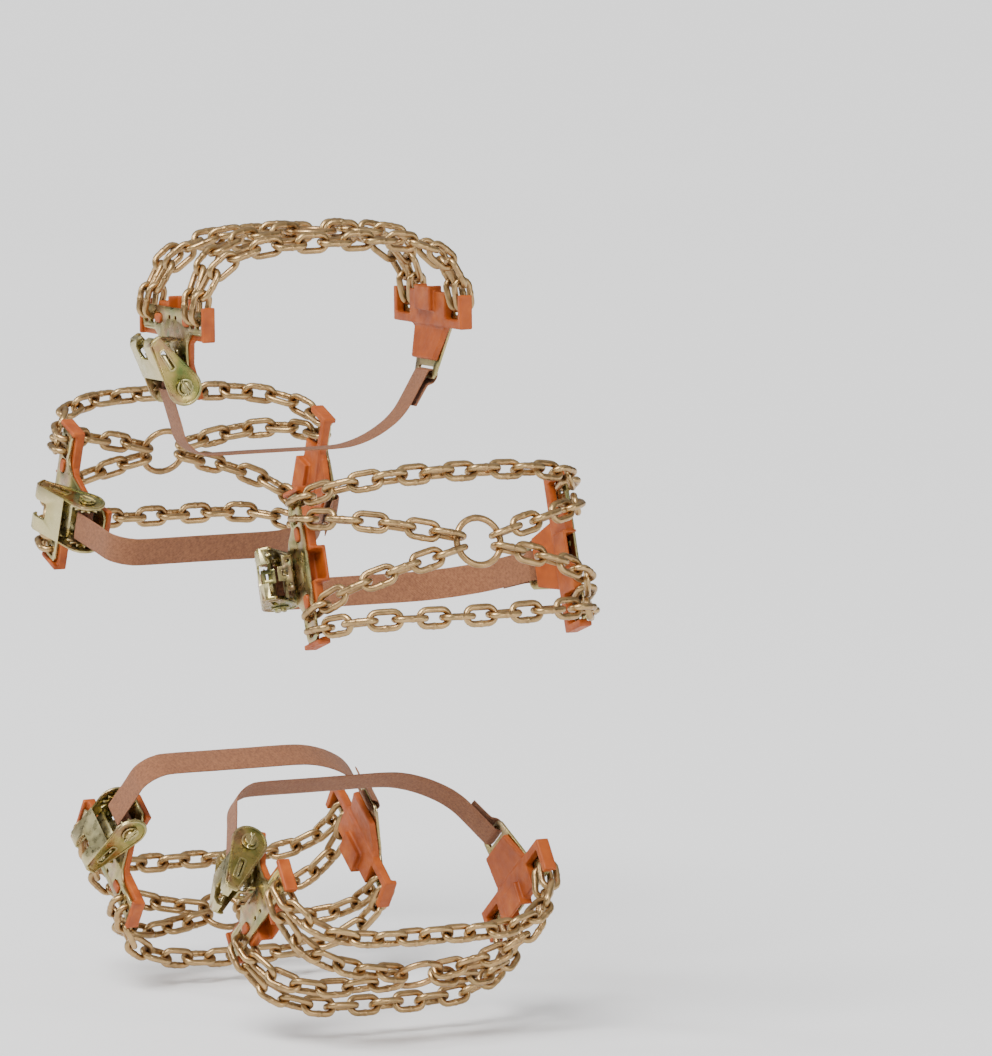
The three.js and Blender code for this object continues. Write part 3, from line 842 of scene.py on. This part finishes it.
def ratchet_base():
    outside = BASE_INSIDE + CHEEK
    end = BASE_END
    round_from = 180 - math.degrees(math.asin(FLOOR / BASE_ROUND))
    corners = rounded([
        (10.8, -0.8), (12.5, -1.2), (end - 6, -8.4), (end, -4), (end, FLOOR - 3), (end - 3, FLOOR),
    ], 1.2)
    outline = arc(BASE_ROUND, round_from, 345, 24) + corners
    holes = [circle(5.4), rounded(rectangle(13.6, 25.5, 1.6, 5), 0.8), circle(1.6, 32, 0, 16)]
    parts = cheek_pair(outline, holes, BASE_INSIDE, CHEEK)
    edge = outside - 0.15
    flat = sheet(rounded(rectangle(8, end - 5, -edge, edge), 1), [], 0, CHEEK, 0.3)
    parts.append(moved(flat, Matrix.Translation((0, FLOOR, 0)) @ Matrix.Rotation(math.pi / 2, 4, "X")))
    # the wall at the tread end, with round holes and a square tab
    foot, step, top = FLOOR - 0.7, FLOOR - 7, FLOOR - 13
    wall = [
        (edge, foot), (edge, step), (6, step), (6, top),
        (-6, top), (-6, step), (-edge, step), (-edge, foot),
    ]
    holes = [circle(1.5, z, FLOOR - 3.7, 16) for z in (-10.2, 10.2)]
    holes.append(rounded(rectangle(-2.5, 2.5, FLOOR - 9.5, FLOOR - 4.5), 0.5))
    parts.append(moved(sheet(rounded(wall, 0.9), holes, end - CHEEK, end - 0.05, 0.3), ACROSS))
    return moved(union(*parts), RATCHET)


def handle_outline(inset=0.0):
    end = HANDLE_END - inset
    corners = [(HANDLE_END - 4.5, -7.5 + inset), (end, -3.5), (end, 4.5), (HANDLE_END - 3, 7 - inset)]
    return arc(HANDLE_ROUND - inset, 78, 282, 28) + rounded(corners, 2.5)


def ratchet_handle():
    outside = HANDLE_INSIDE + CHEEK
    end = HANDLE_END
    slot = rounded(rectangle(19, 37, -2.1, 2.1), 2)
    parts = cheek_pair(handle_outline(), [circle(5.4), slot], HANDLE_INSIDE, CHEEK, 0.5)
    for low in (outside - 0.3, -outside - 0.7):
        parts.append(sheet(handle_outline(0.7), [handle_outline(2.6)], low, low + 1, 0.3))
        parts.append(sheet(rounded(rectangle(17.4, 38.6, -3.7, 3.7), 3.4), [slot], low, low + 0.9, 0.25))
    edge = outside - 0.1
    back = [(16, -12.75), (end - 4.5, -7.45), (end - 0.05, -3.5), (end - 0.05, 1), (end - CHEEK, 1),
            (end - CHEEK, -2.7), (end - 5.2, -5.7), (16, -10.9)]
    spine = sheet(back, [], -edge, edge, 0.35)
    notch = sheet(rounded(rectangle(34, end + 6, -8, 8), 3), [], -3, 16, 0.05)
    parts.append(without(spine, moved(notch, Matrix.Rotation(math.pi / 2, 4, "X"))))
    return moved(union(*parts), HANDLE)


def drive_pawl():
    tip = TOOTH_TIP + 2 * GAP
    span = HANDLE_INSIDE - GAP
    end = PAWL_END - 1
    blade = sheet([(tip, -0.4), (tip + 2, -1.2), (end, -1.2), (end, 1.2), (tip + 2, 1.2), (tip, 0.4)], [],
                  -span, span, 0.25)
    tab = sheet(rounded(rectangle(-6, 6, -7.2, 4.8), 1.2), [rounded(rectangle(-2.5, 2.5, -3.7, 1.3), 0.5)],
                PAWL_END - CHEEK, PAWL_END, 0.4)
    pins = []
    for z in (-12, 12):
        pin = bmesh.new()
        wire(pin, [Vector((end - 1, 0, z)), Vector((43, 0, z)), Vector((43.6, 0, z))], [0.8, 0.8, 0.4], 10)
        pins.append(pin)
    return moved(gathered(union(blade, moved(tab, ACROSS)), *pins), HANDLE)


def toothed_wheel(low, high):
    outline = []
    pitch = 2 * math.pi / TEETH
    for i in range(TEETH):
        for share, radius in ((0, TOOTH_ROOT), (0.25, TOOTH_ROOT + 1.7), (0.46, TOOTH_TIP), (0.54, TOOTH_TIP),
                              (0.75, TOOTH_ROOT + 1.7)):
            a = (i + share) * pitch
            outline.append((radius * math.cos(a), radius * math.sin(a)))
    return sheet(outline, [], low, high, 0.3)


def spindle():
    inside = BASE_INSIDE + CHEEK + GAP
    outside = inside + WHEEL_THICKNESS
    wheels = [toothed_wheel(inside, outside), toothed_wheel(-outside, -inside)]
    half = [(math.cos(math.radians(a)) * AXLE_RADIUS, math.sin(math.radians(a)) * AXLE_RADIUS)
            for a in range(8, 173, 11)]
    reach = AXLE_HALF_LENGTH
    other_half = [(x, -y) for x, y in half][::-1]
    axle = [sheet(outline, [], -reach, reach, 0.5) for outline in (half, other_half)]
    return moved(union(wheels[0], *axle, wheels[1]), HANDLE)


def webbing_roll():
    """Webbing wound on the split axle, one ribbon in a spiral."""
    turns = 3
    steps = 40 * turns
    grow = (ROLL_RADIUS - AXLE_RADIUS - STRAP_THICKNESS) / turns
    outer, inner = [], []
    for i in range(steps + 1):
        a = 2 * math.pi * i / 40 - math.radians(135)
        r = AXLE_RADIUS + 0.1 + grow * i / 40
        inner.append((r * math.cos(a), r * math.sin(a)))
        outer.append(((r + grow * 0.9) * math.cos(a), (r + grow * 0.9) * math.sin(a)))
    bm = bmesh.new()
    half = STRAP_WIDTH / 2
    rings = [[Vector((*p, -half)), Vector((*q, -half)), Vector((*q, half)), Vector((*p, half))]
             for p, q in zip(inner, outer)]
    skin(bm, rings, False)
    return moved(bm, HANDLE)


def washers_and_pins():
    """A washer and a split pin at each end of the spindle."""
    parts = []
    for s in (-1, 1):
        low, high = sorted((s * (HANDLE_INSIDE + CHEEK + 0.3), s * (HANDLE_INSIDE + CHEEK + 1.3)))
        parts.append(sheet(circle(7.5), [circle(5.3)], low, high, 0.25))
        z = s * 23.4
        pin = bmesh.new()
        wire(pin, [Vector((-7.5, 0.9, z)), Vector((-4, 0.5, z)), Vector((4, 0.5, z)), Vector((6.5, 0.9, z)),
                   Vector((8, 0, z)), Vector((6.5, -0.9, z)), Vector((4, -0.5, z)), Vector((-4, -0.5, z)),
                   Vector((-7, -1.8, z))], 0.6, 8)
        parts.append(pin)
    return moved(gathered(*parts), HANDLE)


def lock_pawl():
    outline = [(13.9, 3), (16, 2.2), (25, 2.2), (25, 4.4), (16, 4.4), (13.9, 3.6)]
    return moved(sheet(outline, [], -17.8, 17.8, 0.25), RATCHET)


def coil(start, end, radius, gauge, turns):
    """A compression spring between two points."""
    bm = bmesh.new()
    axis = end - start
    side = axis.orthogonal().normalized()
    other = axis.normalized().cross(side)
    steps = turns * 14
    points = [start + axis * (i / steps) + (side * math.cos(2 * math.pi * i / 14)
              + other * math.sin(2 * math.pi * i / 14)) * radius for i in range(steps + 1)]
    wire(bm, points, gauge, 6)
    return bm


def pawl_springs():
    spring_end = HANDLE_END - CHEEK - 0.3
    parts = [coil(Vector((35.6, 0, z)), Vector((spring_end, 0, z)), 1.7, 0.35, 6) for z in (-12, 12)]
    return moved(gathered(*parts), HANDLE)


def lock_spring():
    spring_end = BASE_END - CHEEK - 0.3
    return moved(coil(Vector((25.4, 3.3, 0)), Vector((spring_end, 3.3, 0)), 1.8, 0.35, 7), RATCHET)


def rivets():
    """Domed rivet heads that hold the ratchet's floor to the tongue, in front and behind."""
    parts = []
    for x, z in ((14, -8), (14, 8), (28, -8), (28, 8)):
        bm = bmesh.new()
        profile = [(0.05, FLOOR - 3.1), (1.4, FLOOR - 2.9), (2.5, FLOOR - 2.3), (2.8, FLOOR - 1.6)]
        rings = []
        for r, y in profile:
            rings.append([Vector((x + r * math.cos(a), y, z + r * math.sin(a)))
                          for a in (2 * math.pi * k / 16 for k in range(16))])
        skin(bm, rings, False)
        parts.append(bm)
    return moved(gathered(*parts), RATCHET)


# ---- Placing ----

def place_all():
    chain_zinc = chain_material()
    ring_zinc = chain_material("ring_zinc", 1.12)
    plate_zinc = plate_material()
    rubber = rubber_material()
    webbing = webbing_material()
    # name: builder, body, material, slot, replaced nodes
    pieces = {
        "outer_plate": (lambda: plate(-1), "root", plate_zinc, "plate_zinc", ["face_plate"]),
        "outer_pad": (lambda: pad(-1), "root", rubber, "pad_rubber", ["face_pad"]),
        "back_plate": (lambda: plate(1), "root", plate_zinc, "plate_zinc", ["inner_plate"]),
        "back_pad": (lambda: pad(1), "root", rubber, "pad_rubber", ["inner_pad"]),
        "lead_chain": (lambda: side_chain(1), "root", chain_zinc, "chain_zinc", ["side_chain_lead"]),
        "trail_chain": (lambda: side_chain(-1), "root", chain_zinc, "chain_zinc", ["side_chain_trail"]),
        "arm_outer_lead": (lambda: chain_arm(-1, 1), "root", chain_zinc, "chain_zinc", ["cross_chains"]),
        "arm_outer_trail": (lambda: chain_arm(-1, -1), "root", chain_zinc, "chain_zinc", ["cross_chains"]),
        "arm_inner_lead": (lambda: chain_arm(1, 1), "root", chain_zinc, "chain_zinc", ["cross_chains"]),
        "arm_inner_trail": (lambda: chain_arm(1, -1), "root", chain_zinc, "chain_zinc", ["cross_chains"]),
        "tread_ring": (ring, "root", ring_zinc, "chain_zinc", ["cross_chains"]),
        "webbing": (strap, "root", webbing, "strap_webbing", ["strap"]),
        "base_frame": (ratchet_base, "root", plate_zinc, "plate_zinc", ["ratchet_base"]),
        "lock_pawl": (lock_pawl, "root", plate_zinc, "plate_zinc", []),
        "lock_spring": (lock_spring, "root", plate_zinc, "plate_zinc", []),
        "rivets": (rivets, "root", plate_zinc, "plate_zinc", []),
        "handle": (ratchet_handle, "handle", plate_zinc, "plate_zinc", ["ratchet_handle"]),
        "pawl_springs": (pawl_springs, "handle", plate_zinc, "plate_zinc", []),
        "pawl": (drive_pawl, "pawl", plate_zinc, "plate_zinc", ["drive_pawl"]),
        "spindle": (spindle, "spindle", plate_zinc, "plate_zinc", ["ratchet_spindle"]),
        "webbing_roll": (webbing_roll, "spindle", webbing, "strap_webbing", ["ratchet_spindle"]),
        "spindle_pins": (washers_and_pins, "spindle", plate_zinc, "plate_zinc", []),
    }
    for name, (build, body, material, slot, replaced) in pieces.items():
        mesh = to_mesh(moved(build(), Matrix.Scale(MM, 4)), name)
        mesh.materials.append(material)
        mesh.shade_smooth()
        mesh.set_sharp_from_angle(angle=math.radians(38))
        for number, angle in enumerate(SEGMENT_ANGLES, 1):
            piece = bpy.data.objects.new(f"{name}_{number}", mesh)
            bpy.context.scene.collection.objects.link(piece)
            piece.matrix_world = Matrix.Rotation(-math.radians(angle), 4, "Y")
            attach(piece, body if body == "root" else f"{body}_{number}")
            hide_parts(*[f"{node}_{number}" for node in replaced])


make_camera()
make_studio()
place_all()
